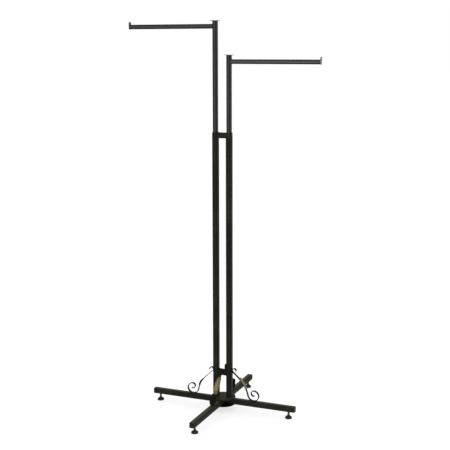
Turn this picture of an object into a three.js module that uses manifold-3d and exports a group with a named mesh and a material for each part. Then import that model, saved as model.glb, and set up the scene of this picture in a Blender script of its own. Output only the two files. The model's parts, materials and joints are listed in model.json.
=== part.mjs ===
// Two-arm garment rack on a four-legged base, in millimetres, +Z up.
// The origin is on the floor, under the middle of the hub.
// +X points along the right arm and -Y to the front.
import * as THREE from 'three';
import * as BufferGeometryUtils from 'three/addons/utils/BufferGeometryUtils.js';
import Module from 'manifold-3d';

const wasm = await Module();
wasm.setup();

// ---- driving dimensions ----
const GAP = 0.3; // left between pieces that touch
const WALL = 1.2; // wall of every square tube
const OUTER_SIDE = 25.4; // uprights, ties and legs
const INNER_SIDE = 20.6; // sliding tubes and arms
const CORNER_RADIUS = 2.2; // outside corner of a square tube

const RACK_HEIGHT = 1831; // top of the left cap, fully raised
const HOLE_PITCH = 76.2; // one height step
const HEIGHT_STEPS = 6; // from the lowest to the highest hole
const RIGHT_STEPS_DOWN = 2; // the right mast stands this many steps lower
const OUTER_TOP = 1327; // top of the two uprights
const UPRIGHT_OFFSET = 33.7; // from the middle to an upright's axis
const LOWER_TIE_BOTTOM = 172;
const INNER_LENGTH = 670;
const BUTTON_ABOVE_END = 60; // lock button above the sliding tube's lower end

const ARM_REACH = 433.5; // from a mast's axis to the outer face of its end plate
const ARM_DROPS = { left: 24, right: 28.5 }; // from each sliding tube's top to its arm's axis
const END_PLATE_THICKNESS = 2.5;
const END_PLATE_HEIGHT = 33;
const CAP_SIDE = 36;
const CAP_THICKNESS = 2.2;

const LEG_BOTTOM = 34; // floor to the underside of a leg
const LEG_REACH = 364; // from the middle to the outer face of a leg's cap
const LEG_START = 13.2; // from the middle to the inner end of a leg tube
const HUB_RADIUS = 60;
const HUB_THICKNESS = 4.8;
const BOLT_REACH = 38; // from the middle to a hub bolt
const BOLT_RADIUS = 4;
const FOOT_REACH = 332; // from the middle to a levelling foot
const PAD_RADIUS = 16.2;
const PAD_HEIGHT = 13;
const STEM_RADIUS = 4.76;
const STEM_TOP = 46;

const STRIP_WIDTH = 12.7; // scroll strip
const STRIP_THICKNESS = 3.2;
const LEAF_WIDTH = 28;
const LEAF_CUP = 4.2; // how far the leaf's edges are bent up from its rib

// ---- worked out from them ----
const LEG_TOP = LEG_BOTTOM + OUTER_SIDE;
const HUB_TOP = LEG_TOP + GAP + HUB_THICKNESS;
const OUTER_BORE = OUTER_SIDE - 2 * WALL;
const INNER_BORE = INNER_SIDE - 2 * WALL;
const ROUND_STEPS = 16;
const CORNER_STEPS = 3;

// ---- looks ----
function material(color, roughness, metalness) {
  return new THREE.MeshStandardMaterial({ color, roughness, metalness });
}

const blackPaint = material(0x2b2b27, 0.6, 0.3);
const greyPaint = material(0x45453f, 0.5, 0.4);
const scrollPaint = material(0x6b5a36, 0.5, 0.5);
const zinc = material(0x8a8a87, 0.4, 0.7);
const steel = material(0x2e2e2c, 0.45, 0.8);
const plastic = material(0x1d1d1c, 0.5, 0);

// ---- solids ----
function toSolid(geometry) {
  const bare = geometry.clone();
  bare.deleteAttribute('normal');
  bare.deleteAttribute('uv');
  const merged = BufferGeometryUtils.mergeVertices(bare);
  const mesh = new wasm.Mesh({
    numProp: 3,
    vertProperties: new Float32Array(merged.attributes.position.array),
    triVerts: new Uint32Array(merged.index.array),
  });
  return new wasm.Manifold(mesh);
}

function toGeometry(solid) {
  const mesh = solid.getMesh();
  const geometry = new THREE.BufferGeometry();
  geometry.setAttribute('position', new THREE.BufferAttribute(mesh.vertProperties, 3));
  geometry.setIndex(new THREE.BufferAttribute(mesh.triVerts, 1));
  return geometry;
}

function cut(geometry, tools) {
  return toGeometry(tools.reduce((solid, tool) => solid.subtract(toSolid(tool)), toSolid(geometry)));
}

function join(geometries) {
  return toGeometry(geometries.map(toSolid).reduce((solid, next) => solid.add(next)));
}

// ---- outlines and basic bodies ----
function sharpSquare(OutlineClass, side) {
  const half = side / 2;
  const outline = new OutlineClass();
  outline.moveTo(half, half);
  outline.lineTo(-half, half);
  outline.lineTo(-half, -half);
  outline.lineTo(half, -half);
  outline.closePath();
  return outline;
}

function roundedSquare(side, radius) {
  const flat = side / 2 - radius;
  const outline = new THREE.Shape();
  outline.absarc(flat, flat, radius, 0, Math.PI / 2);
  outline.absarc(-flat, flat, radius, Math.PI / 2, Math.PI);
  outline.absarc(-flat, -flat, radius, Math.PI, 1.5 * Math.PI);
  outline.absarc(flat, -flat, radius, 1.5 * Math.PI, 2 * Math.PI);
  return outline;
}

function extrude(shape, depth) {
  return new THREE.ExtrudeGeometry(shape, { depth, bevelEnabled: false, curveSegments: CORNER_STEPS });
}

function squareTube(side, length) {
  const shape = roundedSquare(side, CORNER_RADIUS);
  shape.holes.push(sharpSquare(THREE.Path, side - 2 * WALL));
  return extrude(shape, length);
}

function squareBlock(side, length) {
  return extrude(sharpSquare(THREE.Shape, side), length);
}

function roundBar(radius, bottom, top) {
  const bar = new THREE.CylinderGeometry(radius, radius, top - bottom, ROUND_STEPS);
  return bar.rotateX(Math.PI / 2).translate(0, 0, (bottom + top) / 2);
}

// turns a profile of [radius, height] points about the Z axis
function turned(points, steps = ROUND_STEPS) {
  const profile = points.map(([radius, height]) => new THREE.Vector2(radius, height));
  return new THREE.LatheGeometry(profile, steps).rotateX(Math.PI / 2);
}

function hexBar(acrossFlats, bottom, top) {
  const radius = acrossFlats / Math.sqrt(3);
  const bar = new THREE.CylinderGeometry(radius, radius, top - bottom, 6);
  return bar.rotateX(Math.PI / 2).translate(0, 0, (bottom + top) / 2);
}

// a strip swept along a planar path. At each share of its length it is as wide as widthAt says, and its
// edges lie above its middle line by what riseAt says.
function strip(path, thickness, widthAt, riseAt = () => 0) {
  const lengths = [0];
  path.slice(1).forEach((point, i) => lengths.push(lengths[i] + point.distanceTo(path[i])));
  const corners = [];
  path.forEach((point, i) => {
    const before = path[Math.max(i - 1, 0)];
    const after = path[Math.min(i + 1, path.length - 1)];
    const along = after.clone().sub(before).normalize();
    const upward = new THREE.Vector2(-along.y, along.x);
    const share = lengths[i] / lengths.at(-1);
    const half = widthAt(share) / 2;
    const rise = riseAt(share);
    const corner = (across, height) => {
      const place = point.clone().addScaledVector(upward, across === 0 ? height : height + rise);
      corners.push(place.x, across, place.y);
    };
    [-half, 0, half].forEach((across) => corner(across, -thickness / 2));
    [half, 0, -half].forEach((across) => corner(across, thickness / 2));
  });
  const faces = [];
  const quad = (a, b, c, d) => faces.push(a, b, c, a, c, d);
  for (let i = 0; i < path.length - 1; i += 1) {
    for (let k = 0; k < 6; k += 1) {
      const next = (k + 1) % 6;
      quad(6 * i + next, 6 * i + 6 + next, 6 * i + 6 + k, 6 * i + k);
    }
  }
  const end = 6 * (path.length - 1);
  quad(5, 4, 1, 0);
  quad(4, 3, 2, 1);
  quad(end, end + 1, end + 4, end + 5);
  quad(end + 1, end + 2, end + 3, end + 4);
  const geometry = new THREE.BufferGeometry();
  geometry.setAttribute('position', new THREE.Float32BufferAttribute(corners, 3));
  geometry.setIndex(faces);
  return geometry;
}

// ---- scroll ----
// The path lies in a plane: x is the distance out from the face that the hook touches, y is the height.
const HOOK_RADIUS = 9.8;
const HOOK_HEIGHT = 198;
const CURL_RADII = [24.3, 13.2, 9];
const CURL_SWEEPS = [180, 150, 75]; // degrees
const CURL_REACH = 112; // from the face to the middle of the big curl
const HEADING_OUT = -41; // degrees, where the hook runs into the stem

// Each scroll is bent and welded by hand: how much lower its stem sits, how far its hook runs up the face
// before it bends over, the shares of its length between which the leaf lies, whether the leaf is fullest
// near its upper end (below 1) or its lower end (above 1), and its skew in degrees.
const SCROLLS = {
  right: { sunk: 0, rise: 0, leaf: [0.24, 0.435], fullest: 0.7, skew: 0 },
  rear: { sunk: 0, rise: 9, leaf: [0.25, 0.46], fullest: 1, skew: 4.5 },
  left: { sunk: 5, rise: 0, leaf: [0.3, 0.45], fullest: 1, skew: 0 },
  front: { sunk: 0, rise: 0, leaf: [0.2, 0.475], fullest: 1.2, skew: 0 },
};

function arcPoints(centre, radius, fromDegrees, toDegrees, steps) {
  const from = THREE.MathUtils.degToRad(fromDegrees);
  const to = THREE.MathUtils.degToRad(toDegrees);
  const arc = new THREE.EllipseCurve(centre.x, centre.y, radius, radius, from, to);
  return arc.getPoints(steps);
}

function scrollPath({ sunk, rise }) {
  const lift = STRIP_THICKNESS / 2 + GAP;
  const stemCentre = new THREE.Vector2(lift + HOOK_RADIUS, HOOK_HEIGHT - sunk);
  const hookCentre = stemCentre.clone().setY(stemCentre.y + rise);
  const hook = arcPoints(hookCentre, HOOK_RADIUS, -15, 180, 10);
  const turnOut = arcPoints(stemCentre, HOOK_RADIUS, 180, 270 + HEADING_OUT, 4);
  const stemStart = turnOut.at(-1);
  const bend = new THREE.Vector2(80.5, 90 - sunk);
  const heading = THREE.MathUtils.degToRad(HEADING_OUT);
  const stem = new THREE.CubicBezierCurve(
    stemStart,
    stemStart.clone().add(new THREE.Vector2(Math.cos(heading), Math.sin(heading)).multiplyScalar(48)),
    bend.clone().add(new THREE.Vector2(-10, 44)),
    bend,
  ).getPoints(20);
  const rest = new THREE.Vector2(CURL_REACH, LEG_TOP + lift); // where the strip lies on the leg
  const heel = new THREE.CubicBezierCurve(
    bend,
    bend.clone().add(new THREE.Vector2(4, -17.5)),
    rest.clone().add(new THREE.Vector2(-20, 0)),
    rest,
  ).getPoints(7);
  const path = [...hook, ...turnOut.slice(rise ? 0 : 1), ...stem.slice(1), ...heel.slice(1)];
  let centre = rest.clone().add(new THREE.Vector2(0, CURL_RADII[0]));
  let from = -90;
  CURL_SWEEPS.forEach((sweep, i) => {
    const arc = arcPoints(centre, CURL_RADII[i], from, from + sweep, Math.round(sweep / 14));
    path.push(...arc.slice(1));
    from += sweep;
    if (i + 1 < CURL_RADII.length) {
      const inward = arc.at(-1).clone().sub(centre).normalize();
      centre = centre.clone().add(inward.multiplyScalar(CURL_RADII[i] - CURL_RADII[i + 1]));
    }
  });
  return path;
}

// how full the leaf is at a share of the strip's length, from 0 outside it to 1 at its widest
function leafFullness(share, { leaf: [start, end], fullest }) {
  if (share <= start || share >= end) return 0;
  const into = (share - start) / (end - start);
  return Math.sin(Math.PI * into ** fullest) ** 0.6;
}

// ---- scene graph ----
const rack = new THREE.Group();

function part(parent, name, geometry, look, x = 0, y = 0, z = 0) {
  const mesh = new THREE.Mesh(geometry, look);
  mesh.name = name;
  mesh.position.set(x, y, z);
  parent.add(mesh);
  return mesh;
}

// ---- hub ----
function boltPlaces() {
  return [0, 1, 2, 3].map((quarter) => [
    BOLT_REACH * Math.cos((quarter * Math.PI) / 2),
    BOLT_REACH * Math.sin((quarter * Math.PI) / 2),
  ]);
}

function hubPlate(holeRadius, holeBottom, holeTop) {
  const edge = 0.8;
  const disc = turned([
    [0, 0], [HUB_RADIUS - edge, 0], [HUB_RADIUS, edge],
    [HUB_RADIUS, HUB_THICKNESS - edge], [HUB_RADIUS - edge, HUB_THICKNESS], [0, HUB_THICKNESS],
  ], 44);
  const hole = ([x, y]) => roundBar(holeRadius, holeBottom, holeTop).translate(x, y, 0);
  return cut(disc, boltPlaces().map(hole));
}

const THREAD_DEPTH = 3.4; // blind bolt holes in the upper plate
part(rack, 'hub_top_plate', hubPlate(BOLT_RADIUS + GAP, -1, THREAD_DEPTH), blackPaint, 0, 0, LEG_TOP + GAP);
const LOWER_PLATE_BOTTOM = LEG_BOTTOM - GAP - HUB_THICKNESS;
const lowerPlate = hubPlate(BOLT_RADIUS + GAP, -1, HUB_THICKNESS + 1);
part(rack, 'hub_bottom_plate', lowerPlate, blackPaint, 0, 0, LOWER_PLATE_BOTTOM);

// ---- legs, with all that each carries ----
function legTube() {
  const length = LEG_REACH - 2.8 - LEG_START;
  const tube = squareTube(OUTER_SIDE, length).rotateY(Math.PI / 2).translate(LEG_START, 0, 0);
  const half = OUTER_SIDE / 2;
  const boltHole = roundBar(BOLT_RADIUS + GAP, -half - 1, half + 1).translate(BOLT_REACH, 0, 0);
  const footHole = roundBar(6.6, -half - 1, 0).translate(FOOT_REACH, 0, 0);
  return cut(tube, [boltHole, footHole]);
}

function legCap() {
  const plate = extrude(roundedSquare(OUTER_SIDE, CORNER_RADIUS), 2.5);
  const stub = squareBlock(OUTER_BORE - 2 * GAP, 14).translate(0, 0, -13);
  return join([plate, stub]).rotateY(Math.PI / 2);
}

function footInsert() {
  return turned([[5, 0], [9, 0], [9, 1.2], [6.3, 1.2], [6.3, 15], [5, 15], [5, 0]]);
}

function footPad() {
  return turned([
    [0, 0], [PAD_RADIUS, 0], [PAD_RADIUS, 2.6], [PAD_RADIUS - 1.4, 5], [9.4, 11.6],
    [8, PAD_HEIGHT], [4.3, PAD_HEIGHT], [4.3, 6.5], [0, 6.5],
  ], 24);
}

function footStem() {
  const rod = turned([
    [0, 7], [3.7, 7], [3.7, 15], [STEM_RADIUS, 15], [STEM_RADIUS, STEM_TOP - 0.8],
    [STEM_RADIUS - 0.8, STEM_TOP], [0, STEM_TOP],
  ]);
  return join([rod, hexBar(12, PAD_HEIGHT + GAP, PAD_HEIGHT + GAP + 3.5)]);
}

function hubBolt() {
  const headTop = LOWER_PLATE_BOTTOM - GAP;
  const shankTop = LEG_TOP + GAP + THREAD_DEPTH - 0.4;
  return join([hexBar(13, headTop - 5, headTop), roundBar(BOLT_RADIUS, headTop - 1, shankTop)]);
}

function scroll(bends) {
  const fullness = (share) => leafFullness(share, bends);
  const widthAt = (share) => STRIP_WIDTH + (LEAF_WIDTH - STRIP_WIDTH) * fullness(share);
  return strip(scrollPath(bends), STRIP_THICKNESS, widthAt, (share) => LEAF_CUP * fullness(share));
}

function leg(name, quarterTurns, scrollFace) {
  const group = new THREE.Group();
  group.rotation.z = (quarterTurns * Math.PI) / 2;
  rack.add(group);
  const legAxis = LEG_BOTTOM + OUTER_SIDE / 2;
  part(group, `leg_${name}`, legTube(), blackPaint, 0, 0, legAxis);
  part(group, `leg_cap_${name}`, legCap(), plastic, LEG_REACH - 2.5, 0, legAxis);
  part(group, `foot_insert_${name}`, footInsert(), steel, FOOT_REACH, 0, LEG_BOTTOM - GAP - 1.2);
  part(group, `foot_pad_${name}`, footPad(), plastic, FOOT_REACH);
  part(group, `foot_stem_${name}`, footStem(), steel, FOOT_REACH);
  part(group, `hub_bolt_${name}`, hubBolt(), steel, BOLT_REACH);
  const skew = THREE.MathUtils.degToRad(SCROLLS[name].skew);
  const aside = -CURL_REACH * Math.sin(skew);
  const clear = Math.abs(STRIP_WIDTH / 2 * Math.sin(skew));
  const strap = part(group, `scroll_${name}`, scroll(SCROLLS[name]), scrollPaint, scrollFace + clear, aside);
  strap.rotation.z = skew;
}

const UPRIGHT_FACE = UPRIGHT_OFFSET + OUTER_SIDE / 2;
leg('right', 0, UPRIGHT_FACE);
leg('rear', 1, OUTER_SIDE / 2);
leg('left', 2, UPRIGHT_FACE);
leg('front', 3, OUTER_SIDE / 2);

// ---- ties between the uprights ----
function tie() {
  const length = 2 * UPRIGHT_OFFSET - OUTER_SIDE - 2 * GAP;
  return squareTube(OUTER_SIDE, length).rotateY(Math.PI / 2).translate(-length / 2, 0, 0);
}

part(rack, 'upper_tie', tie(), blackPaint, 0, 0, OUTER_TOP - OUTER_SIDE / 2);
part(rack, 'lower_tie', tie(), blackPaint, 0, 0, LOWER_TIE_BOTTOM + OUTER_SIDE / 2);

// ---- uprights with their sliding masts ----
const TUBE_TOP = RACK_HEIGHT - CAP_THICKNESS - GAP; // sliding tube's top when fully raised
const TOP_HOLE = TUBE_TOP - INNER_LENGTH + BUTTON_ABOVE_END;
const HOLE_RADIUS = 4.4;
const BUTTON_RADIUS = 3.9;
const BUTTON_REACH = OUTER_SIDE / 2 + 2.4; // from the mast's axis to the button's tip
const UPRIGHT_BOTTOM = HUB_TOP + GAP;

// a drill along +Y, through a tube's rear wall only
function rearDrill(radius, height) {
  return roundBar(radius, 0, OUTER_SIDE).rotateX(-Math.PI / 2).translate(0, 0, height);
}

function outerTube() {
  const tube = squareTube(OUTER_SIDE, OUTER_TOP - UPRIGHT_BOTTOM);
  const holes = [];
  for (let step = 0; step <= HEIGHT_STEPS; step += 1) {
    holes.push(rearDrill(HOLE_RADIUS, TOP_HOLE - step * HOLE_PITCH - UPRIGHT_BOTTOM));
  }
  return cut(tube, holes);
}

function mouthBush() {
  const shape = sharpSquare(THREE.Shape, OUTER_BORE - 2 * GAP);
  shape.holes.push(sharpSquare(THREE.Path, INNER_SIDE + 2 * GAP));
  return extrude(shape, 22);
}

function innerTube() {
  return cut(squareTube(INNER_SIDE, INNER_LENGTH), [rearDrill(HOLE_RADIUS, BUTTON_ABOVE_END)]);
}

function guidePlug() {
  const flange = squareBlock(OUTER_BORE - 2 * GAP, 4).translate(0, 0, -4 - GAP);
  const stub = squareBlock(INNER_BORE - 2 * GAP, 16).translate(0, 0, -2);
  return join([flange, stub]);
}

function topCap() {
  return extrude(roundedSquare(CAP_SIDE, 3), CAP_THICKNESS);
}

function armTube() {
  const start = INNER_SIDE / 2 + GAP;
  const length = ARM_REACH - END_PLATE_THICKNESS - GAP - start;
  return squareTube(INNER_SIDE, length).rotateY(Math.PI / 2).translate(start, 0, 0);
}

function endPlate() {
  const half = INNER_SIDE / 2;
  const plate = new THREE.Shape();
  plate.moveTo(-half, -half);
  plate.lineTo(half, -half);
  plate.absarc(half - 3, END_PLATE_HEIGHT - half - 3, 3, 0, Math.PI / 2);
  plate.absarc(-half + 3, END_PLATE_HEIGHT - half - 3, 3, Math.PI / 2, Math.PI);
  plate.closePath();
  const solid = extrude(plate, END_PLATE_THICKNESS);
  return solid.rotateX(Math.PI / 2).rotateZ(Math.PI / 2).translate(ARM_REACH - END_PLATE_THICKNESS, 0, 0);
}

function lockButton() {
  const flangeFace = INNER_BORE / 2 - 0.4;
  return turned([
    [0, flangeFace - 1.2], [5.2, flangeFace - 1.2], [5.2, flangeFace], [BUTTON_RADIUS, flangeFace],
    [BUTTON_RADIUS, BUTTON_REACH - 1.6], [2.6, BUTTON_REACH - 0.4], [0, BUTTON_REACH],
  ]).rotateX(-Math.PI / 2);
}

// a hairpin of spring strip: its front leaf lies on the front wall, its rear leaf presses the button out
function buttonSpring() {
  const front = -INNER_BORE / 2 + 1;
  const rear = INNER_BORE / 2 - 2.4;
  const bendRadius = 2.6;
  const rise = 34;
  const bend = arcPoints(new THREE.Vector2(front + bendRadius, -rise), bendRadius, 180, 350, 6);
  const tip = new THREE.Vector2(front, 14);
  const rearLeaf = [new THREE.Vector2(rear, -7), new THREE.Vector2(rear, 7)];
  return strip([tip, ...bend, ...rearLeaf], 0.8, () => 8).rotateZ(Math.PI / 2);
}

function mast(name, quarterTurns, tubeTop) {
  const place = new THREE.Group();
  place.position.x = UPRIGHT_OFFSET * (quarterTurns ? -1 : 1);
  rack.add(place);
  part(place, `outer_tube_${name}`, outerTube(), blackPaint, 0, 0, UPRIGHT_BOTTOM);
  part(place, `tube_bush_${name}`, mouthBush(), plastic, 0, 0, OUTER_TOP - 22);
  const tubeBottom = tubeTop - INNER_LENGTH;
  part(place, `inner_tube_${name}`, innerTube(), greyPaint, 0, 0, tubeBottom);
  part(place, `guide_plug_${name}`, guidePlug(), plastic, 0, 0, tubeBottom);
  part(place, `top_cap_${name}`, topCap(), zinc, 0, 0, tubeTop + GAP);
  part(place, `lock_button_${name}`, lockButton(), steel, 0, 0, tubeBottom + BUTTON_ABOVE_END);
  part(place, `button_spring_${name}`, buttonSpring(), steel, 0, 0, tubeBottom + BUTTON_ABOVE_END);
  const arm = new THREE.Group();
  arm.rotation.z = (quarterTurns * Math.PI) / 2;
  arm.position.z = tubeTop - ARM_DROPS[name];
  place.add(arm);
  part(arm, `arm_${name}`, armTube(), greyPaint);
  part(arm, `end_plate_${name}`, endPlate(), greyPaint);
}

mast('right', 0, TUBE_TOP - RIGHT_STEPS_DOWN * HOLE_PITCH);
mast('left', 2, TUBE_TOP);

export default rack;
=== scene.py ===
"""A two-arm garment rack with a scroll-braced four-leg base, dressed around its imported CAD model."""
import json
import math

import bpy
from mathutils import Matrix, Vector, noise


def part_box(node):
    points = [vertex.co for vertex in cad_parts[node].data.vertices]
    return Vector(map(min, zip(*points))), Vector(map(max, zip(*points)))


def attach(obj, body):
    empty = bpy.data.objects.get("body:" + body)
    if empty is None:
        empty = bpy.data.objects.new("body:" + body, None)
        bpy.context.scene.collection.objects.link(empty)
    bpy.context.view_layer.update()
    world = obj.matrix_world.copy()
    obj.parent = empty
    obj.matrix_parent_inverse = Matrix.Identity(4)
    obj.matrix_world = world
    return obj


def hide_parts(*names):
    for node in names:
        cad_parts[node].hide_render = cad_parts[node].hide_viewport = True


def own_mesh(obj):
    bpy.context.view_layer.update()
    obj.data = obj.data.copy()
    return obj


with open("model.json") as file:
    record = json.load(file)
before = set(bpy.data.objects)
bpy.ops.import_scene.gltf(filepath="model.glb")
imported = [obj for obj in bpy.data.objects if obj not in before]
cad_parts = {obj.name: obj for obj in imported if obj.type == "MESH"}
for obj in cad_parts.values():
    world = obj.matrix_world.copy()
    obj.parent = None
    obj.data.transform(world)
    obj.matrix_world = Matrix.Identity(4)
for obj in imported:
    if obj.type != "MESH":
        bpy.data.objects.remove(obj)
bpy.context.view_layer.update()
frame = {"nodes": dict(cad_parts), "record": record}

# ---- dimensions in millimetres, as the CAD model has them ----
MM = 0.001
GAP = 0.3  # left between CAD nodes that touch
WALL = 1.2
CORNER_RADIUS = 2.2  # outside corner of a square tube
OUTER_SIDE = 25.4  # uprights, ties and legs
INNER_SIDE = 20.6  # sliding tubes and arms
UPRIGHT_OFFSET = 33.7  # from the rack's middle to an upright's axis

HOLE_RADIUS = 4.4
HOLE_PITCH = 76.2  # one height step
HEIGHT_STEPS = 6
BUTTON_ABOVE_END = 60  # lock button above the sliding tube's lower end
BUTTON_RADIUS = 3.9
BUTTON_FLANGE_RADIUS = 5.2
BUTTON_DOME = 1.9  # height of the button's rounded tip
SPRING_THICKNESS = 0.8
SPRING_BEND_RADIUS = 2.6

LEG_TOP = 59.4
FOOT_REACH = 332  # from the rack's middle to a levelling foot
FOOT_HOLE_RADIUS = 6.6
PAD_RADIUS = 16.2
PAD_HEIGHT = 13
SOCKET_RADIUS = 4.3  # the blind hole in the pad that the stem's neck stands in
SOCKET_FLOOR = 6.5
STEM_RADIUS = 4.76
THREAD_PITCH = 1.5875
THREAD_DEPTH = 0.55
BOLT_REACH = 38  # from the rack's middle to a hub bolt
BOLT_RADIUS = 4
BOLT_HEAD_HEIGHT = 4.4

STRIP_THICKNESS = 3.2  # scrolls
STRIP_WIDTH = 12.7
LEAF_WIDTH = 28
LEAF_CUP = 4.2  # how far the leaf's edges are bent up from its rib
HOOK_RADIUS = 9.8
HOOK_HEIGHT = 198
CURL_RADII = (24.3, 13.2, 9)
CURL_SWEEPS = (180, 150, 75)  # degrees
CURL_REACH = 112  # from the face that the scroll is welded to, to the middle of its big curl
HEADING_OUT = -41  # degrees, where the hook runs into the stem

SIDES = {"left": -1, "right": 1}  # which way along X
LEGS = {"right": 0, "rear": 90, "left": 180, "front": 270}  # degrees about the rack's axis


# ---- node materials ----
class Shader:
    """A Principled material, with a short call for each kind of node that its look is made of."""

    def __init__(self, name, metallic=0.0, specular=0.5):
        self.material = bpy.data.materials.new(name)
        self.material.use_nodes = True
        self.tree = self.material.node_tree
        self.surface = self.tree.nodes["Principled BSDF"]
        self.surface.inputs["Metallic"].default_value = metallic
        self.surface.inputs["Specular IOR Level"].default_value = specular
        self.coordinates = self.node("ShaderNodeTexCoord").outputs["Object"]
        self.normal = None

    def node(self, kind, **settings):
        made = self.tree.nodes.new(kind)
        for name, value in settings.items():
            setattr(made, name, value)
        return made

    def feed(self, socket, value):
        if isinstance(value, bpy.types.NodeSocket):
            self.tree.links.new(value, socket)
        else:
            socket.default_value = value

    def noise(self, scale, detail=3.0, stretch=(1, 1, 1)):
        """Fractal noise from 0 to 1, with `scale` features to a metre, drawn out by `stretch`."""
        mapping = self.node("ShaderNodeMapping")
        self.feed(mapping.inputs["Vector"], self.coordinates)
        mapping.inputs["Scale"].default_value = stretch
        made = self.node("ShaderNodeTexNoise")
        self.feed(made.inputs["Vector"], mapping.outputs["Vector"])
        made.inputs["Scale"].default_value = scale
        made.inputs["Detail"].default_value = detail
        return made.outputs["Fac"]

    def cells(self, scale):
        """Distance to the middle of the nearest of `scale` cells to a metre."""
        made = self.node("ShaderNodeTexVoronoi", feature="SMOOTH_F1")
        self.feed(made.inputs["Vector"], self.coordinates)
        made.inputs["Scale"].default_value = scale
        return made.outputs["Distance"]

    def facing_up(self):
        """The upward share of the surface's direction."""
        split = self.node("ShaderNodeSeparateXYZ")
        self.feed(split.inputs[0], self.node("ShaderNodeNewGeometry").outputs["Normal"])
        return split.outputs["Z"]

    def attribute(self, name):
        return self.node("ShaderNodeAttribute", attribute_name=name).outputs["Fac"]

    def between(self, value, low, high, out_low=0.0, out_high=1.0):
        """`value` rescaled so that low..high becomes out_low..out_high, and held there outside."""
        made = self.node("ShaderNodeMapRange", clamp=True, interpolation_type="SMOOTHSTEP")
        for index, given in enumerate((value, low, high, out_low, out_high)):
            self.feed(made.inputs[index], given)
        return made.outputs["Result"]

    def maths(self, operation, first, second):
        made = self.node("ShaderNodeMath", operation=operation)
        self.feed(made.inputs[0], first)
        self.feed(made.inputs[1], second)
        return made.outputs["Value"]

    def mix(self, share, first, second):
        """The colour `first`, with that share of `second` over it."""
        made = self.node("ShaderNodeMix", data_type="RGBA")
        for index, given in ((0, share), (6, first), (7, second)):
            self.feed(made.inputs[index], given)
        return made.outputs[2]

    def colour(self, value):
        self.feed(self.surface.inputs["Base Color"], value)

    def roughness(self, value):
        self.feed(self.surface.inputs["Roughness"], value)

    def specular(self, value):
        self.feed(self.surface.inputs["Specular IOR Level"], value)

    def rim(self, low, high):
        """0 along the middle of a square tube's faces and 1 at its corners, which places painted shade.
        """
        return self.between(self.maths("ABSOLUTE", self.attribute("across_face"), 0), low, high)

    def relief(self, height, millimetres):
        """Lays one more height field over the surface, that many millimetres deep."""
        made = self.node("ShaderNodeBump")
        made.inputs["Strength"].default_value = 1.0
        made.inputs["Distance"].default_value = millimetres * MM
        self.feed(made.inputs["Height"], height)
        if self.normal is not None:
            self.feed(made.inputs["Normal"], self.normal)
        self.normal = made.outputs["Normal"]
        self.feed(self.surface.inputs["Normal"], self.normal)


def rgb(red, green, blue):
    return (red, green, blue, 1.0)


def textured_paint():
    """Black textured coat of the base and uprights, brown on top: painted top light over a partly real
    brown rub.

    "handled" says how much of that brown shows, and "sheltered" how much painted shade darkens a piece.
    """
    shader = Shader("textured_black_paint")
    grain = shader.cells(420)
    patches = shader.noise(9, 4)
    grain_tops = shader.between(grain, 0.62, 0.30)
    worn = shader.maths("MULTIPLY", shader.between(patches, 0.45, 0.65), grain_tops)
    coat = shader.mix(patches, rgb(0.0062, 0.0080, 0.0053), rgb(0.0102, 0.0120, 0.0084))
    coat = shader.mix(shader.maths("MULTIPLY", worn, 0.3), coat, rgb(0.040, 0.036, 0.022))
    # painted top light, partly a real brown rub: faces that point up turn brown as far as "handled"
    # says
    painted_top_light = shader.maths("MULTIPLY", shader.between(shader.facing_up(), 0.5, 0.95), 0.45)
    painted_top_light = shader.maths("MULTIPLY", painted_top_light, shader.attribute("handled"))
    coat = shader.mix(painted_top_light, coat, rgb(0.060, 0.048, 0.027))
    # painted shade: the coat darkens towards the rounded corners and where "sheltered" says, and loses
    # its specular there
    painted_shade = shader.maths("MULTIPLY", shader.rim(0.82, 1.0), 0.55)
    painted_shade = shader.maths("MAXIMUM", painted_shade, shader.attribute("sheltered"))
    shader.colour(shader.mix(painted_shade, coat, rgb(0.0025, 0.0035, 0.002)))
    shader.specular(shader.between(painted_shade, 0, 1, 0.06, 0.0))
    shader.roughness(shader.between(shader.noise(70, 5), 0.3, 0.7, 0.50, 0.72))
    shader.relief(grain, 0.30)
    shader.relief(shader.noise(1600, 2), 0.04)
    return shader.material


def satin_paint():
    """Dark grey satin coat of the sliding tubes and arms, with painted shade darkening them along their
    edges.

    "rubbed" says how far the paint is lightened to a lighter grey, as a painted highlight.
    """
    shader = Shader("satin_grey_paint")
    scuffs = shader.noise(90, 6)
    patches = shader.noise(7, 3)
    coat = shader.mix(patches, rgb(0.016, 0.018, 0.014), rgb(0.025, 0.026, 0.022))
    marks = shader.maths("MULTIPLY", shader.between(scuffs, 0.60, 0.72), 0.3)
    coat = shader.mix(marks, coat, rgb(0.07, 0.068, 0.058))
    # painted highlight: the coat is lightened to a lighter grey as far as "rubbed" says
    coat = shader.mix(shader.attribute("rubbed"), coat, rgb(0.13, 0.13, 0.125))
    # painted shade: the coat darkens towards the rounded corners, and its specular drops there
    rim = shader.rim(0.35, 0.90)
    shader.colour(shader.mix(shader.maths("MULTIPLY", rim, 0.85), coat, rgb(0.004, 0.005, 0.003)))
    shader.specular(shader.between(rim, 0, 1, 0.30, 0.04))
    shader.roughness(shader.between(scuffs, 0.3, 0.7, 0.36, 0.55))
    shader.relief(shader.noise(900, 3), 0.05)
    shader.relief(scuffs, 0.02)
    return shader.material


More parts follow.
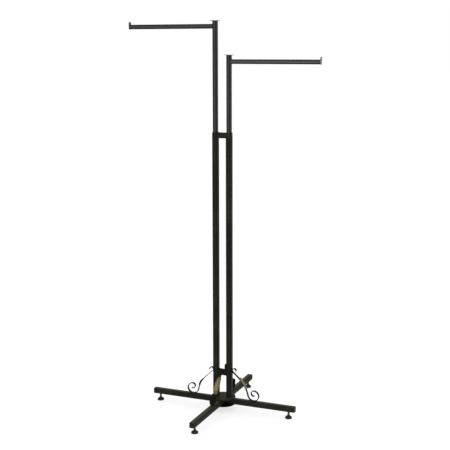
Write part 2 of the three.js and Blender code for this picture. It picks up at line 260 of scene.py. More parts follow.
def scroll_gold_paint():
    """Black scroll strip with an antique gold rub over the hammered leaf, as far as "gilt" says; the
    black left on the leaf's underside and rims is partly painted shade.
    """
    shader = Shader("gold_rubbed_paint", metallic=0.1)
    dimples = shader.cells(300)
    blotches = shader.noise(210, 3)
    fleck = shader.noise(430, 4)
    worn = shader.between(blotches, 0.40, 0.58, 0.25, 1.0)
    gilt = shader.attribute("gilt")
    rub = shader.maths("MULTIPLY", gilt, worn)
    coat = shader.mix(shader.noise(25, 4), rgb(0.003, 0.003, 0.002), rgb(0.007, 0.007, 0.0045))
    gold = shader.mix(fleck, rgb(0.098, 0.066, 0.020), rgb(0.325, 0.248, 0.122))
    shader.colour(shader.mix(rub, coat, gold))
    shader.specular(shader.between(gilt, 0, 0.5, 0.06, 0.25))
    shader.roughness(shader.between(fleck, 0.3, 0.7, 0.42, 0.62))
    shader.relief(dimples, 0.35)
    shader.relief(fleck, 0.05)
    return shader.material


def zinc():
    """Dull zinc plate, lightly brushed."""
    shader = Shader("dull_zinc", metallic=0.8)
    brushed = shader.noise(120, 4, (1, 14, 1))
    cloudy = shader.noise(45, 4)
    shader.colour(shader.mix(cloudy, rgb(0.12, 0.12, 0.118), rgb(0.22, 0.22, 0.215)))
    shader.roughness(shader.between(brushed, 0.3, 0.7, 0.36, 0.52))
    shader.relief(brushed, 0.02)
    return shader.material


def steel():
    """Black-oxide screws and pins, oily and a little worn in places."""
    shader = Shader("black_oxide_steel", metallic=0.6, specular=0.3)
    cloudy = shader.noise(160, 5)
    shader.colour(shader.mix(cloudy, rgb(0.010, 0.010, 0.009), rgb(0.045, 0.043, 0.038)))
    shader.roughness(shader.between(cloudy, 0.3, 0.7, 0.34, 0.55))
    shader.relief(shader.noise(900, 3), 0.02)
    return shader.material


def black_plastic():
    """Moulded black plastic with a fine grain and a little dust on what faces up."""
    shader = Shader("moulded_plastic", specular=0.12)
    grain = shader.noise(1400, 2)
    dust = shader.maths("MULTIPLY", shader.between(shader.facing_up(), 0.3, 1.0), shader.noise(90, 5))
    coat = shader.mix(shader.noise(30, 3), rgb(0.006, 0.006, 0.006), rgb(0.011, 0.011, 0.011))
    shader.colour(shader.mix(shader.maths("MULTIPLY", dust, 0.15), coat, rgb(0.07, 0.068, 0.062)))
    shader.roughness(shader.between(grain, 0.3, 0.7, 0.42, 0.60))
    shader.relief(grain, 0.04)
    return shader.material


MATERIALS = {
    "frame_paint": textured_paint(),
    "mast_paint": satin_paint(),
    "scroll_paint": scroll_gold_paint(),
    "cap_zinc": zinc(),
    "fastener_steel": steel(),
    "black_plastic": black_plastic(),
}
SLOT_OF = {part["node"]: part["material_slot"] for part in frame["record"]["subparts"]}
BODY_OF = {
    node: body for body, nodes in frame["record"]["behaviour"]["bodies"].items() for node in nodes
}


# ---- making pieces ----
def span(node):
    """The lowest and highest corner of a CAD node, in millimetres."""
    low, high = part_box(node)
    return low / MM, high / MM


def make(name, shape, slot, place=Matrix.Identity(4), sharp=35):
    """An object from (vertices, faces) in millimetres, moved by `place`, in its slot's material."""
    vertices, faces = shape
    mesh = bpy.data.meshes.new(name)
    mesh.from_pydata([MM * (place @ Vector(v)) for v in vertices], [], faces)
    mesh.materials.append(MATERIALS[slot])
    mesh.shade_smooth()
    mesh.set_sharp_from_angle(angle=math.radians(sharp))
    piece = bpy.data.objects.new(name, mesh)
    bpy.context.scene.collection.objects.link(piece)
    return piece


def dress(node, shape, place=Matrix.Identity(4), soften=0.0, drills=(), sharp=35):
    """Puts a finer piece of that shape in a CAD node's place, on its body and in its material."""
    piece = make(f"{node}_skin", shape, SLOT_OF[node], place, sharp)
    for drill in drills:
        bore(piece, drill)
    if soften:
        round_edges(piece, soften)
    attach(piece, BODY_OF[node])
    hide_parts(node)
    return piece


def mark_faces(piece, side, place):
    """Stores how far across its face each point of a square tube lies: -1 or 1 at the corners."""
    flat = side / 2 - CORNER_RADIUS
    back = place.inverted()

    def share(distance):
        return max(-1, min(1, distance / flat))

    local = [back @ (vertex.co / MM) for vertex in piece.data.vertices]
    mark(piece, "across_face", [share(point.x) * share(point.y) for point in local])


def mark(piece, name, values):
    """Stores a value for each point of a piece, or one value for them all."""
    if not hasattr(values, "__len__"):
        values = [values] * len(piece.data.vertices)
    piece.data.attributes.new(name, "FLOAT", "POINT").data.foreach_set("value", values)


def trim(name, shape, slot, body, place=Matrix.Identity(4)):
    """A small piece that no CAD node holds, such as a weld bead."""
    piece = make(name, shape, slot, place)
    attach(piece, body)


def round_edges(piece, width):
    """Rounds the sharp edges of a piece by that many millimetres."""
    bevel = piece.modifiers.new("soft_edges", "BEVEL")
    bevel.width = width * MM
    bevel.segments = 3
    bevel.limit_method = "ANGLE"
    bevel.angle_limit = math.radians(50)
    bevel.harden_normals = True


def bore(piece, drill):
    """Cuts the shape `drill` out of the piece for good."""
    cutter = make("drill", drill, "fastener_steel")
    cut = piece.modifiers.new("cut", "BOOLEAN")
    cut.object = cutter
    cut.solver = "EXACT"
    result = piece.evaluated_get(bpy.context.evaluated_depsgraph_get())
    mesh = bpy.data.meshes.new_from_object(result)
    piece.modifiers.clear()
    piece.data = mesh
    bpy.data.objects.remove(cutter)


def loft(rings, closed=False):
    """A skin over rings of equally many points: a closed loop of rings, or capped at both ends."""
    count = len(rings[0])
    vertices = [point for ring in rings for point in ring]
    faces = []
    for i in range(len(rings) if closed else len(rings) - 1):
        a = i * count
        b = (i + 1) % len(rings) * count
        for k in range(count):
            n = (k + 1) % count
            faces.append((a + k, a + n, b + n, b + k))
    if not closed:
        faces.append(tuple(reversed(range(count))))
        faces.append(tuple(range(len(vertices) - count, len(vertices))))
    return vertices, faces


def rounded_square(side, radius, height, steps=6):
    """A level ring of points around a rounded square, counter-clockwise from above."""
    flat = side / 2 - radius
    ring = []
    for quarter in range(4):
        middle = math.radians(90 * quarter + 45)
        x = math.copysign(flat, math.cos(middle))
        y = math.copysign(flat, math.sin(middle))
        for i in range(steps + 1):
            angle = math.radians(90 * quarter + 90 * i / steps)
            ring.append((x + radius * math.cos(angle), y + radius * math.sin(angle), height))
    return ring


def square_tube(side, bottom, top, wall=WALL, radius=CORNER_RADIUS):
    """An upright square tube, open at both ends."""
    bore_side = side - 2 * wall
    bore_radius = max(radius - wall, 0.3)
    return loft(
        [
            rounded_square(side, radius, bottom),
            rounded_square(side, radius, top),
            rounded_square(bore_side, bore_radius, top),
            rounded_square(bore_side, bore_radius, bottom),
        ],
        closed=True,
    )


def turned(profile, steps=48, radius_at=lambda radius, angle, height: radius):
    """A body of revolution from (radius, height) pairs, from its bottom to its top."""
    rings = []
    for radius, height in profile:
        ring = []
        for k in range(steps):
            angle = 2 * math.pi * k / steps
            reach = radius_at(radius, angle, height)
            ring.append((reach * math.cos(angle), reach * math.sin(angle), height))
        rings.append(ring)
    return loft(rings)


def cylinder(radius, bottom, top, steps=32):
    return turned([(radius, bottom), (radius, top)], steps)


def moved(shape, place):
    vertices, faces = shape
    return [place @ Vector(v) for v in vertices], faces


def joined(*shapes):
    vertices, faces = [], []
    for some_vertices, some_faces in shapes:
        start = len(vertices)
        vertices.extend(some_vertices)
        faces.extend(tuple(start + index for index in face) for face in some_faces)
    return vertices, faces


def fillet(centre_radius, centre_height, radius, start, end, steps=6):
    """(radius, height) pairs along an arc of a turned profile, from `start` to `end` degrees."""
    pairs = []
    for i in range(steps + 1):
        angle = math.radians(start + (end - start) * i / steps)
        reach = centre_radius + radius * math.cos(angle)
        pairs.append((reach, centre_height + radius * math.sin(angle)))
    return pairs


UP = Vector((0, 0, 1))
ALONG_X = Matrix.Rotation(math.radians(90), 4, "Y")  # turns an upright shape to point along +X
ALONG_Y = Matrix.Rotation(math.radians(-90), 4, "X")  # turns an upright shape to point along +Y


def spot(x, y, z):
    return Matrix.Translation((x, y, z))


def turn(degrees):
    return Matrix.Rotation(math.radians(degrees), 4, "Z")


# ---- weld beads ----
BEAD_RADIUS = 1.7
BEAD_STEP = 0.9  # between the rings of a bead
BEAD_SIDES = 10


def bead(points, axis, radius=BEAD_RADIUS, closed=True):
    """A rippled weld bead along points that lie in a plane square to `axis`, in millimetres."""
    count = len(points)
    angles = [2 * math.pi * k / BEAD_SIDES for k in range(BEAD_SIDES)]
    rings = []
    for i, point in enumerate(points):
        if closed:
            tangent = points[(i + 1) % count] - points[i - 1]
        else:
            tangent = points[min(i + 1, count - 1)] - points[max(i - 1, 0)]
        side = axis.cross(tangent).normalized()
        lump = 1 + 0.13 * math.sin(i * 2.1) + 0.25 * noise.noise(point * 0.35)
        if not closed:
            lump *= math.sin(math.pi * (i + 0.7) / (count + 0.4)) ** 0.35
        rings.append([
            point + radius * lump * (math.cos(a) * side + math.sin(a) * axis)
            for a in angles
        ])
    return loft(rings, closed)


def evenly(points, step, closed):
    """Points a `step` apart along a line of points."""
    line = points + [points[0]] if closed else points
    lengths = [0.0]
    for before, after in zip(line, line[1:]):
        lengths.append(lengths[-1] + (after - before).length)
    count = max(3, round(lengths[-1] / step))
    spaced, k = [], 0
    for i in range(count if closed else count + 1):
        target = lengths[-1] * i / count
        while k < len(line) - 2 and lengths[k + 1] < target:
            k += 1
        share = (target - lengths[k]) / max(lengths[k + 1] - lengths[k], 1e-9)
        spaced.append(line[k].lerp(line[k + 1], share))
    return spaced


def weld_around(side, place, radius=BEAD_RADIUS):
    """A bead around a square tube that ends at height 0 of `place`."""
    ring = [Vector(point) for point in rounded_square(side, CORNER_RADIUS, 0)]
    return moved(bead(evenly(ring, BEAD_STEP, True), UP, radius), place)


# ---- hub ----
def hub_plate(node, light_attribute, share):
    """A round plate with eased edges. `light_attribute` names the painted-light attribute of its paint,
    which gets that share.
    """
    low, high = span(node)
    radius = (high.x - low.x) / 2
    profile = [(radius - 30, low.z), *fillet(radius - 1, low.z + 1, 1, -90, 0)]
    profile += [*fillet(radius - 1, high.z - 1, 1, 0, 90), (radius - 30, high.z)]
    mark(dress(node, turned(profile, 128)), light_attribute, share)


def hexagonal(radius, angle):
    """Stretches a radius given across the flats to a hexagon's outline."""
    return radius / math.cos((angle + math.pi / 6) % (math.pi / 3) - math.pi / 6)


def bolt_head(across_flats, bottom, top):
    """A hexagon head whose lower face is turned down to a round."""
    flat = across_flats / 2
    corner = flat / math.cos(math.pi / 6)

    def reach(radius, angle, height):
        sloped = flat * 0.96 + (height - bottom) * 1.7
        return min(hexagonal(radius, angle), sloped, corner)

    heights = [bottom + (top - bottom) * i / 12 for i in range(13)]
    return turned([(flat, height) for height in heights], 72, reach)


def hub_bolt(name, angle):
    """A hexagon bolt with a washer face, screwed up through the leg into the upper plate."""
    node = f"hub_bolt_{name}"
    low, high = span(node)
    face = low.z + BOLT_HEAD_HEIGHT
    washer = turned([(7.6, face), (8.0, face + 0.2), (8.0, face + 0.7), (7.6, face + 0.9)])
    head = bolt_head(13, low.z, face)
    shank = cylinder(BOLT_RADIUS, low.z + 4, high.z)
    dress(node, joined(head, washer, shank), turn(angle) @ spot(BOLT_REACH, 0, 0), sharp=25)


# ---- legs and feet ----
def leg(name, angle):
    """A leg tube with its cap, foot and bolt. All are made along +X and then turned into place."""
    across = turn(angle)
    low, high = span(f"leg_{name}")
    axis_height = (low.z + high.z) / 2
    along = Vector((math.cos(math.radians(angle)), math.sin(math.radians(angle)), 0))
    reaches = sorted(abs(corner.dot(along)) for corner in (low, high))
    place = across @ spot(0, 0, axis_height) @ ALONG_X
    foot = across @ spot(FOOT_REACH, 0, 0)
    foot_hole = moved(cylinder(FOOT_HOLE_RADIUS, low.z - 5, axis_height), foot)
    tube = dress(f"leg_{name}", square_tube(OUTER_SIDE, *reaches), place, 0.35, [foot_hole])
    mark_faces(tube, OUTER_SIDE, place)
    # painted top light, partly a real brown rub, on the leg's upward faces
    mark(tube, "handled", 1.0)
    leg_cap(name, max(abs(corner.dot(along)) for corner in span(f"leg_cap_{name}")), place)
    foot_insert(name, foot)
    dress(f"foot_pad_{name}", foot_pad(), foot, sharp=50)
    dress(f"foot_stem_{name}", foot_stem(span(f"foot_stem_{name}")[1].z), foot)
    hub_bolt(name, angle)


def leg_cap(name, face, place):
    """A plastic cap: a stub in the tube and a plate whose outer face is `face` from the middle."""
    stub = [(20.6, face - 15.4), (21.7, face - 14.4), (21.7, face - 2.5)]
    plate = [(OUTER_SIDE - 0.6, face - 2.5), (OUTER_SIDE, face - 2.1), (OUTER_SIDE, face - 1.0)]
    plate += [(OUTER_SIDE - 0.6, face - 0.4), (OUTER_SIDE - 2.0, face - 0.08), (OUTER_SIDE - 5.0, face)]
    rings = []
    for side, reach in stub + plate:
        rings.append(rounded_square(side, CORNER_RADIUS if side > 22 else 1.2, reach))
    dress(f"leg_cap_{name}", loft(rings), place)


def foot_insert(name, foot):
    """A threaded sleeve in the leg's lower wall, with a thin flange under it."""
    low, high = span(f"foot_insert_{name}")
    flange = low.z + 1.2
    profile = [(5, low.z), (8.6, low.z), (9, low.z + 0.4), (9, flange)]
    profile += [(6.3, flange), (6.3, high.z), (5, high.z)]
    rings = [turned([pair], 40)[0] for pair in profile]
    dress(f"foot_insert_{name}", loft(rings, closed=True), foot)


def foot_pad():
    """A round glide: a flat sole with a rounded rim, a domed back and a collar around the socket."""
    rim, brim = 1.6, 3.0
    profile = [(SOCKET_RADIUS, 0), *fillet(PAD_RADIUS - rim, rim, rim, -90, 0), (PAD_RADIUS, brim)]
    for i in range(1, 13):
        angle = math.radians(90 * i / 12)
        profile.append((8.2 + 8.0 * math.cos(angle), brim + 8.4 * math.sin(angle) ** 0.9))
    profile += [(8.0, 12.4), (7.4, PAD_HEIGHT), (SOCKET_RADIUS, PAD_HEIGHT)]
    profile += [(SOCKET_RADIUS, SOCKET_FLOOR), (0.5, SOCKET_FLOOR)]
    return turned(profile, 64)


def foot_stem(top):
    """A threaded rod with a hexagon to turn it by and a plain neck that sits in the pad."""
    rod_bottom, chamfer = 16.6, 0.6

    def thread(radius, angle, height):
        turns = height / THREAD_PITCH - angle / (2 * math.pi)
        ridge = abs(2 * (turns - math.floor(turns)) - 1)
        return radius - THREAD_DEPTH * ridge

    threaded = top - chamfer - rod_bottom
    rows = round(threaded / (THREAD_PITCH / 6))
    rod = [(STEM_RADIUS, rod_bottom + threaded * i / rows) for i in range(rows + 1)]
    rod.append((4.2, top))
    neck = turned([(3.2, 7), (3.7, 7.5), (3.7, 13.6)], 32)
    hexagon = bolt_head(12, PAD_HEIGHT + GAP, 16.8)
    return joined(neck, hexagon, turned(rod, 32, thread))


# ---- scrolls ----
RING_STEP = 1.1  # between the rings of the loft, along the strip
COLUMNS = 26  # faces across the strip
EDGE_ROUNDING = 1.1
VEIN_SPACING = 6.5
# Each scroll is bent and welded by hand. "sunk" is how much lower its stem sits, and "rise" is how far
# its hook runs up the face before it bends over. "leaf" has the shares of its length between which the
# leaf lies. "fullest" is below 1 where the leaf is fullest near its upper end, and above 1 near its
# lower end. "skew" is in degrees.
SCROLLS = {
    "right": {"sunk": 0, "rise": 0, "leaf": (0.24, 0.435), "fullest": 0.7, "skew": 0},
    "rear": {"sunk": 0, "rise": 9, "leaf": (0.25, 0.46), "fullest": 1, "skew": 4.5},
    "left": {"sunk": 5, "rise": 0, "leaf": (0.3, 0.45), "fullest": 1, "skew": 0},
    "front": {"sunk": 0, "rise": 0, "leaf": (0.2, 0.475), "fullest": 1.2, "skew": 0},
}


def arc(centre, radius, start, end, steps):
    """Points along an arc in a plane, from `start` to `end` degrees."""
    angles = [math.radians(start + (end - start) * i / steps) for i in range(steps + 1)]
    return [centre + radius * Vector((math.cos(a), math.sin(a))) for a in angles]


def bezier(a, b, c, d, steps):
    """Points along a cubic curve from a to d, with its handles at b and c."""
    line = []
    for i in range(steps + 1):
        t = i / steps
        s = 1 - t
        line.append(s**3 * a + 3 * s * s * t * b + 3 * s * t * t * c + t**3 * d)
    return line


def scroll_path(sunk, rise):
    """The strip's middle line: x is the distance out from the face it is welded to, y the height."""
    lift = STRIP_THICKNESS / 2 + GAP
    stem_centre = Vector((lift + HOOK_RADIUS, HOOK_HEIGHT - sunk))
    line = arc(stem_centre + Vector((0, rise)), HOOK_RADIUS, -15, 180, 75)
    line += arc(stem_centre, HOOK_RADIUS, 180, 270 + HEADING_OUT, 20)[0 if rise else 1:]
    heading = Vector((math.cos(math.radians(HEADING_OUT)), math.sin(math.radians(HEADING_OUT))))
    bend = Vector((80.5, 90 - sunk))
    rest = Vector((CURL_REACH, LEG_TOP + lift))
    start = line[-1]
    line += bezier(start, start + 48 * heading, bend + Vector((-10, 44)), bend, 120)[1:]
    line += bezier(bend, bend + Vector((4, -17.5)), rest + Vector((-20, 0)), rest, 60)[1:]
    centre = rest + Vector((0, CURL_RADII[0]))
    angle = -90
    for i, sweep in enumerate(CURL_SWEEPS):
        curl = arc(centre, CURL_RADII[i], angle, angle + sweep, sweep)
        line += curl[1:]
        angle += sweep
        if i + 1 < len(CURL_RADII):
            centre += (curl[-1] - centre).normalized() * (CURL_RADII[i] - CURL_RADII[i + 1])
    return line


def leaf_share(share, leaf):
    """How far a place along the strip is into the leaf, from 0 to 1, or None outside it."""
    start, end = leaf
    if start < share < end:
        return (share - start) / (end - start)
    return None


def strip_width(share, leaf, into, full):
    """The strip's width: it swells at the leaf, with waved edges, and is necked at the leaf's tips."""
    width = STRIP_WIDTH + (LEAF_WIDTH - STRIP_WIDTH) * full
    if into is not None:
        width += 0.5 * math.sin(math.pi * into) * math.sin(26 * math.pi * into)
    for tip in leaf:
        width -= 1.2 * math.exp(-(((share - tip) / 0.012) ** 2))
    ends = min(share, 1 - share)
    return width - 2.2 * math.exp(-((ends / 0.006) ** 2))


def leaf_relief(across, edge, along):
    """The pressed leaf's height above the plain strip: raised rib, slanting veins and cupped edges."""
    aside = abs(across)
    rib = 0.75 * math.exp(-((across / 1.3) ** 2)) - 0.35 * math.exp(-(((aside - 2.2) / 0.9) ** 2))
    slant = (along - 0.9 * aside) / VEIN_SPACING
    from_vein = (slant - round(slant)) * VEIN_SPACING
    vein = -0.42 * math.exp(-((from_vein / 0.8) ** 2)) * min(aside / 3, 1)
    cup = LEAF_CUP * (aside / edge) ** 1.3
    hammered = 0.8 * noise.noise(Vector((across * 0.22, along * 0.22, 0.0)))
    return rib + vein + cup + hammered


def gold_share(into, full, from_edge, face):
    """How much gold rub there is: over the leaf's upper face, fading to its rims and its two ends; the
    bare underside and rims are partly painted shade.
    """
    if into is None or face < 0:
        # painted shade: no gold on the leaf's underside, and the gold fades to black at its curled rims
        return 0.0
    ends = min(1.0, 12 * into, 20 * (1 - into))
    return min(1.0, 1.5 * full) * ends * (1 - math.exp(-((from_edge / 3.2) ** 2)))


def scroll(sunk, rise, leaf, fullest):
    """The strip as a loft of rounded sections, and each point's share of the gold rub."""
    line = evenly(scroll_path(sunk, rise), RING_STEP, False)
    half = STRIP_THICKNESS / 2
    rings, rubs = [], []
    for i, point in enumerate(line):
        tangent = (line[min(i + 1, len(line) - 1)] - line[max(i - 1, 0)]).normalized()
        upward = Vector((-tangent.y, tangent.x))
        share = i / (len(line) - 1)
        into = leaf_share(share, leaf)
        full = 0.0 if into is None else math.sin(math.pi * into**fullest) ** 0.6
        edge = strip_width(share, leaf, into, full) / 2
        taper = 0.45 if i in (0, len(line) - 1) else 1.0
        offsets = [edge * math.sin(math.pi * (k / COLUMNS - 0.5)) for k in range(COLUMNS + 1)]
        section = [(across, -1) for across in offsets]
        section += [(across, 1) for across in reversed(offsets[1:-1])]
        ring = []
        for across, face in section:
            inset = max(abs(across) - (edge - EDGE_ROUNDING), 0) / EDGE_ROUNDING
            height = face * half * taper * math.sqrt(max(1 - inset * inset, 0))
            place = point + upward * (height + full * leaf_relief(across, edge, i * RING_STEP))
            ring.append((place.x, across, place.y))
            rubs.append(gold_share(into, full, edge - abs(across), face))
        rings.append(ring)
    return loft(rings), rubs


def scrolls():
    """The four scrolls, each welded to its face at the hook and to its leg under the big curl."""
    for name, angle in LEGS.items():
        bends = SCROLLS[name]
        shape, rubs = scroll(bends["sunk"], bends["rise"], bends["leaf"], bends["fullest"])
        across = turn(angle)
        face = OUTER_SIDE / 2 + (UPRIGHT_OFFSET if name in SIDES else 0)
        skew = math.radians(bends["skew"])
        clear = abs(STRIP_WIDTH / 2 * math.sin(skew))
        hook = across @ spot(face + clear, -CURL_REACH * math.sin(skew), 0) @ turn(bends["skew"])
        piece = dress(f"scroll_{name}", shape, hook, sharp=60)
        mark(piece, "gilt", rubs)
        tack = [Vector((-0.1, y, HOOK_HEIGHT - bends["sunk"])) for y in range(-5, 6)]
        trim(f"tack_{name}", bead(tack, UP, 1.5, False), "frame_paint", "base", hook)
        for flank in (-1, 1):
            foot = [Vector((CURL_REACH + x, flank * 6.4, LEG_TOP + 0.4)) for x in range(-9, 10)]
            side = "near" if flank < 0 else "far"
            trim(f"heel_weld_{name}_{side}", bead(foot, UP, 1.4, False), "frame_paint", "base", hook)


# ---- uprights, masts and arms ----
def rear_drill(x, height):
    """A drill along +Y, through the rear wall only."""
    return moved(cylinder(HOLE_RADIUS, 3, 30), spot(x, 0, height) @ ALONG_Y)


def upright(name, sign):
    """An upright with its row of holes, its bush, and the welds at its foot and at the two ties."""
    low, high = span(f"outer_tube_{name}")
    x = (low.x + high.x) / 2
    top_hole = span("inner_tube_left")[0].z + BUTTON_ABOVE_END
    heights = [top_hole - step * HOLE_PITCH for step in range(HEIGHT_STEPS + 1)]
    shape = square_tube(OUTER_SIDE, low.z, high.z)
    drills = [rear_drill(x, height) for height in heights]
    tube = dress(f"outer_tube_{name}", shape, spot(x, 0, 0), 0.35, drills)
    mark_faces(tube, OUTER_SIDE, spot(x, 0, 0))
    bush_low, bush_high = span(f"tube_bush_{name}")
    side = bush_high.x - bush_low.x
    bush = square_tube(side, bush_low.z, bush_high.z, (side - INNER_SIDE - 2 * GAP) / 2, 0.8)
    dress(f"tube_bush_{name}", bush, spot(x, 0, 0), 0.25)
    trim(f"foot_weld_{name}", weld_around(OUTER_SIDE, spot(x, 0, low.z)), "frame_paint", "base")
    for tie in ("upper", "lower"):
        tie_low, tie_high = span(f"{tie}_tie")
        end = tie_high.x if sign > 0 else tie_low.x
        place = spot(end, 0, (tie_low.z + tie_high.z) / 2) @ ALONG_X
        trim(f"{tie}_tie_weld_{name}", weld_around(OUTER_SIDE, place, 1.4), "frame_paint", "base")


def tie(node):
    """A short tube between the two uprights, welded to both."""
    low, high = span(node)
    shape = square_tube(OUTER_SIDE, low.x - GAP, high.x + GAP)
    place = spot(0, 0, (low.z + high.z) / 2) @ ALONG_X
    mark_faces(dress(node, shape, place), OUTER_SIDE, place)


ARM_SHEEN = {"left": 0.05, "right": 0.20}  # painted highlight: the right arm, which the light from the right reaches more, is painted lighter


def mast(name, sign):
    """A sliding tube with the welded cap on it, its arm, its button and its spring."""
    low, high = span(f"inner_tube_{name}")
    x = (low.x + high.x) / 2
    shape = square_tube(INNER_SIDE, low.z, high.z)
    button_hole = rear_drill(x, low.z + BUTTON_ABOVE_END)
    tube = dress(f"inner_tube_{name}", shape, spot(x, 0, 0), 0.3, [button_hole])
    mark_faces(tube, INNER_SIDE, spot(x, 0, 0))

    cap_low, cap_high = span(f"top_cap_{name}")
    side = cap_high.x - cap_low.x
    sizes = [(side - 0.9, cap_low.z - GAP), (side - 0.2, cap_low.z), (side, cap_low.z + 0.4)]
    sizes += [(side, cap_high.z - 0.55), (side - 0.25, cap_high.z - 0.25), (side - 1.0, cap_high.z)]
    dress(f"top_cap_{name}", loft([rounded_square(s, 3, z) for s, z in sizes]), spot(x, 0, 0))
    neck = weld_around(INNER_SIDE, spot(x, 0, high.z), 1.0)
    trim(f"cap_weld_{name}", neck, "mast_paint", f"{name}_mast")

    arm(name, x, sign)
    lock_button(name)
    button_spring(name)


def arm(name, x, sign):
    """An arm with its end plate and welds, made along +X from the mast's axis and then turned."""
    body = f"{name}_mast"
    low, high = span(f"arm_{name}")
    ends = sorted(abs(end - x) for end in (low.x, high.x))
    place = spot(x, 0, (low.z + high.z) / 2) @ turn(0 if sign > 0 else 180)
    shape = square_tube(INNER_SIDE, ends[0] - GAP, ends[1] + GAP)
    beam = dress(f"arm_{name}", shape, place @ ALONG_X)
    mark_faces(beam, INNER_SIDE, place @ ALONG_X)
    # painted highlight: the arm is painted a lighter grey as far as ARM_SHEEN says
    mark(beam, "rubbed", ARM_SHEEN[name])
    root_weld = weld_around(INNER_SIDE, place @ spot(ends[0] - GAP, 0, 0) @ ALONG_X, 1.5)
    trim(f"arm_weld_{name}", root_weld, "mast_paint", body)
    tip_weld = weld_around(INNER_SIDE, place @ spot(ends[1], 0, 0) @ ALONG_X, 0.9)
    trim(f"arm_tip_weld_{name}", tip_weld, "mast_paint", body)

    plate_low, plate_high = span(f"end_plate_{name}")
    thickness = plate_high.x - plate_low.x
    outline = plate_outline(plate_high.z - plate_low.z)
    start = ends[1] + GAP
    plate = loft([[(start + t, y, z) for y, z in outline] for t in (0, thickness)])
    tip = dress(f"end_plate_{name}", plate, place, soften=0.5)
    # painted highlight: the plate's outer face is painted a lighter grey
    mark(tip, "rubbed", [0.0] * len(outline) + [1.0] * len(outline))


def plate_outline(height):
    """The end plate from the arm's tip: square below, rounded above, flush with the arm's underside."""
    half = INNER_SIDE / 2
    radius = 3
    outline = [(-half, -half), (half, -half)]
    for side, start in ((1, 0), (-1, 90)):
        centre = Vector((side * (half - radius), height - half - radius))
        outline += [tuple(point) for point in arc(centre, radius, start, start + 90, 8)]
    return outline


def lock_button(name):
    """A round-tipped pin with a flange that keeps it in the tube."""
    low, high = span(f"lock_button_{name}")
    flange, shoulder = low.y + 1.2, high.y - BUTTON_DOME
    profile = [(BUTTON_FLANGE_RADIUS, low.y), (BUTTON_FLANGE_RADIUS, flange)]
    profile += [(BUTTON_RADIUS, flange), (BUTTON_RADIUS, shoulder)]
    for angle in (0.25, 0.5, 0.8, 1.1, 1.35, 1.5):
        profile.append((BUTTON_RADIUS * math.cos(angle), shoulder + BUTTON_DOME * math.sin(angle)))
    place = spot((low.x + high.x) / 2, 0, (low.z + high.z) / 2) @ ALONG_Y
    dress(f"lock_button_{name}", turned(profile), place)


def button_spring(name):
    """The hairpin of spring strip behind the button, made in its open shape."""
    low, high = span(f"button_spring_{name}")
    half = SPRING_THICKNESS / 2
    front, rear = low.y + half, high.y - half
    bend_centre = Vector((front + SPRING_BEND_RADIUS, low.z + SPRING_BEND_RADIUS + half))
    bend = arc(bend_centre, SPRING_BEND_RADIUS, 180, 350, 24)
    behind_button = [Vector((rear, high.z - 21)), Vector((rear, high.z - 7))]
    line = evenly([Vector((front, high.z)), *bend, *behind_button], 0.8, False)
    rings = []
    for i, point in enumerate(line):
        tangent = (line[min(i + 1, len(line) - 1)] - line[max(i - 1, 0)]).normalized()
        outward = half * Vector((-tangent.y, tangent.x))
        inner, outer = point - outward, point + outward
        rings.append([
            (low.x, outer.x, outer.y), (high.x, outer.x, outer.y),
            (high.x, inner.x, inner.y), (low.x, inner.x, inner.y),
        ])
    piece = dress(f"button_spring_{name}", loft(rings))
    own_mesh(piece)


# painted top light on the hub's top plate, less than on the legs because the uprights shade it
hub_plate("hub_top_plate", "handled", 0.45)
# painted shade: the hub's lower plate, under the legs and upper plate, is painted near black
hub_plate("hub_bottom_plate", "sheltered", 1.0)
for leg_name, leg_angle in LEGS.items():
    leg(leg_name, leg_angle)
scrolls()
tie("upper_tie")
tie("lower_tie")
for side_name, side_sign in SIDES.items():
    upright(side_name, side_sign)
    mast(side_name, side_sign)
    kept = frame["nodes"][f"guide_plug_{side_name}"]
    kept.data.materials.clear()
    kept.data.materials.append(MATERIALS[SLOT_OF[kept.name]])


# ---- floor, light and camera ----
FLOOR_REACH = 60  # metres
RACK_MIDDLE = Vector((0, 0, 0.9))


def pale_floor():
    """A plain floor that glows a little, so that it fades into the white studio around it."""
    shader = Shader("pale_floor", specular=0.1)
    cloudy = shader.noise(1.5, 4)
    shader.colour(shader.mix(cloudy, rgb(0.37, 0.37, 0.37), rgb(0.40, 0.40, 0.40)))
    shader.roughness(shader.between(cloudy, 0.3, 0.7, 0.85, 0.95))
    shader.surface.inputs["Emission Color"].default_value = rgb(1, 1, 1)
    shader.surface.inputs["Emission Strength"].default_value = 0.56
    mesh = bpy.data.meshes.new("floor")
    corners = [(FLOOR_REACH * x, FLOOR_REACH * y, 0) for x, y in ((-1, -1), (1, -1), (1, 1), (-1, 1))]
    mesh.from_pydata(corners, [], [(0, 1, 2, 3)])
    mesh.materials.append(shader.material)
    floor = bpy.data.objects.new("floor", mesh)
    bpy.context.scene.collection.objects.link(floor)


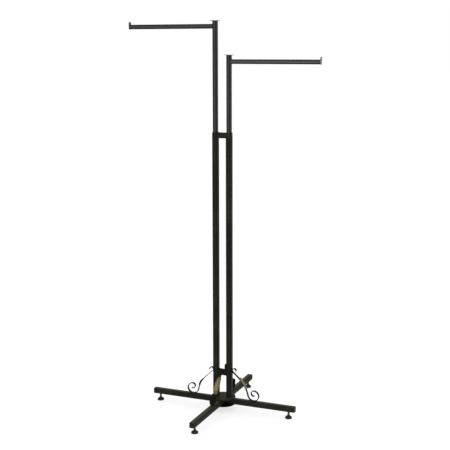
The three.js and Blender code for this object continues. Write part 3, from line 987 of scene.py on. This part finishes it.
def light(name, kind, energy, aim_from, **settings):
    """A light that shines from `aim_from` towards the rack's middle."""
    lamp = bpy.data.lights.new(name, kind)
    lamp.energy = energy
    for key, value in settings.items():
        setattr(lamp, key, value)
    holder = bpy.data.objects.new(name, lamp)
    holder.location = aim_from
    aim = RACK_MIDDLE - Vector(aim_from)
    holder.rotation_euler = aim.to_track_quat("-Z", "Y").to_euler()
    bpy.context.scene.collection.objects.link(holder)


def studio():
    """An even white surround, a broad light from above and a softer one from the right."""
    world = bpy.data.worlds.new("studio")
    world.use_nodes = True
    background = world.node_tree.nodes["Background"]
    background.inputs["Color"].default_value = rgb(1, 1, 1)
    background.inputs["Strength"].default_value = 1.0
    bpy.context.scene.world = world
    light("key", "SUN", 0.6, (-1, -3, 8), angle=math.radians(50), use_shadow=False)
    light("side", "AREA", 60, (3.0, -2.2, 2.1), size=1.6, use_shadow=False)
    bpy.context.scene.view_settings.view_transform = "Standard"


AZIMUTH = 22.5  # degrees, from the front towards the right
ELEVATION = 10.2
ROLL = -0.12
FOCAL_LENGTH = 79.76  # on a sensor 36 mm wide
DISTANCE = 4.637  # metres
TARGET_HEIGHT = 0.8974
TARGET_ASIDE = 0.0113  # to the picture's right of the rack's axis


def camera():
    """A long lens from the front right, a little above the rack's middle."""
    azimuth, elevation, roll = (math.radians(a) for a in (AZIMUTH, ELEVATION, ROLL))
    right = Vector((math.cos(azimuth), math.sin(azimuth), 0))
    back = Vector((
        math.sin(azimuth) * math.cos(elevation),
        -math.cos(azimuth) * math.cos(elevation),
        math.sin(elevation),
    ))
    up = back.cross(right)
    target = Vector((0, 0, TARGET_HEIGHT)) + TARGET_ASIDE * right
    rolled_right = math.cos(roll) * right + math.sin(roll) * up
    rolled_up = math.cos(roll) * up - math.sin(roll) * right
    lens = bpy.data.cameras.new("camera")
    lens.sensor_width = 36
    lens.lens = FOCAL_LENGTH
    holder = bpy.data.objects.new("camera", lens)
    facing = Matrix((rolled_right, rolled_up, back)).transposed().to_4x4()
    holder.matrix_world = Matrix.Translation(target + DISTANCE * back) @ facing
    bpy.context.scene.collection.objects.link(holder)
    bpy.context.scene.camera = holder


pale_floor()
studio()
camera()
